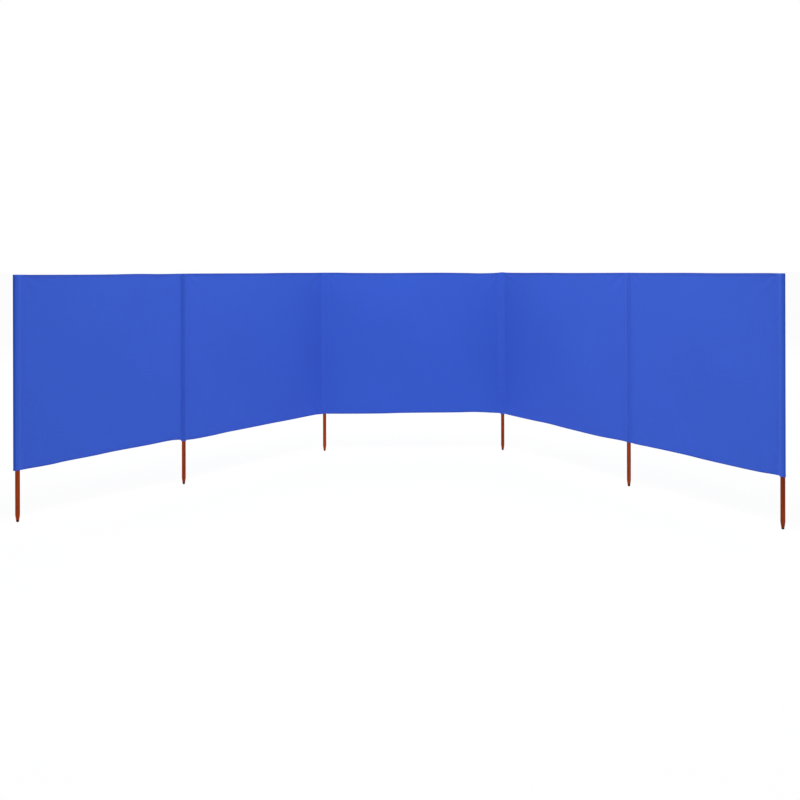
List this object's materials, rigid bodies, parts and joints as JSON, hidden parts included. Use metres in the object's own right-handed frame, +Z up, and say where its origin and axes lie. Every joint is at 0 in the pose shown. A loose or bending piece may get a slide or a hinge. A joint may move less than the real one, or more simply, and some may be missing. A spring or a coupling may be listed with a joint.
{
  "type": "beach windbreak",
  "caption": "Low free-standing beach windbreak: plain blue cloth stretched in five bays between round wooden poles with blunt tips, set in an open arc; each bay turns at its pole.",
  "frame": {"origin": "middle of the small flat on the tip of pole 3, the left pole of the middle bay as seen from the sheltered side", "axes": "+X along the middle bay towards pole 4, -Y towards the sheltered side, +Z up the poles"},
  "size_m": [3.6697, 1.9414, 1.2],
  "materials": {
    "cloth": "plain woven polyester, azure blue, matt with a faint sheen",
    "pole_wood": "stained red-brown wood, satin, dark worn tips"
  },
  "bodies": {
    "middle_bay": {"bay_3_panel": "cloth", "bay_3_top_hem": "cloth", "bay_3_bottom_hem": "cloth", "pole_3": "pole_wood", "pocket_3": "cloth", "pole_4": "pole_wood", "pocket_4": "cloth"},
    "second_bay": {"bay_2_panel": "cloth", "bay_2_top_hem": "cloth", "bay_2_bottom_hem": "cloth", "pole_2": "pole_wood", "pocket_2": "cloth", "pocket_3_far_side": "cloth"},
    "first_bay": {"bay_1_panel": "cloth", "bay_1_top_hem": "cloth", "bay_1_bottom_hem": "cloth", "pole_1": "pole_wood", "pocket_1": "cloth", "pocket_2_far_side": "cloth"},
    "fourth_bay": {"bay_4_panel": "cloth", "bay_4_top_hem": "cloth", "bay_4_bottom_hem": "cloth", "pole_5": "pole_wood", "pocket_5": "cloth", "pocket_4_far_side": "cloth"},
    "fifth_bay": {"bay_5_panel": "cloth", "bay_5_top_hem": "cloth", "bay_5_bottom_hem": "cloth", "pole_6": "pole_wood", "pocket_6": "cloth", "pocket_5_far_side": "cloth"}
  },
  "joints": [
    {"name": "fold_at_pole_3", "type": "hinge", "parent": "middle_bay", "child": "second_bay", "pos_m": [0, 0, 0], "axis": [0, 0, 1], "range_deg": [-118.3, 13.7]},
    {"name": "fold_at_pole_2", "type": "hinge", "parent": "second_bay", "child": "first_bay", "pos_m": [-0.73383, -0.94947, 0], "axis": [0, 0, 1], "range_deg": [-64.6, 67.4]},
    {"name": "fold_at_pole_4", "type": "hinge", "parent": "middle_bay", "child": "fourth_bay", "pos_m": [1.2, 0, 0], "axis": [0, 0, -1], "range_deg": [-127, 5]},
    {"name": "fold_at_pole_5", "type": "hinge", "parent": "fourth_bay", "child": "fifth_bay", "pos_m": [1.78177, -1.04954, 0], "axis": [0, 0, -1], "range_deg": [-65.1, 66.9]}
  ]
}
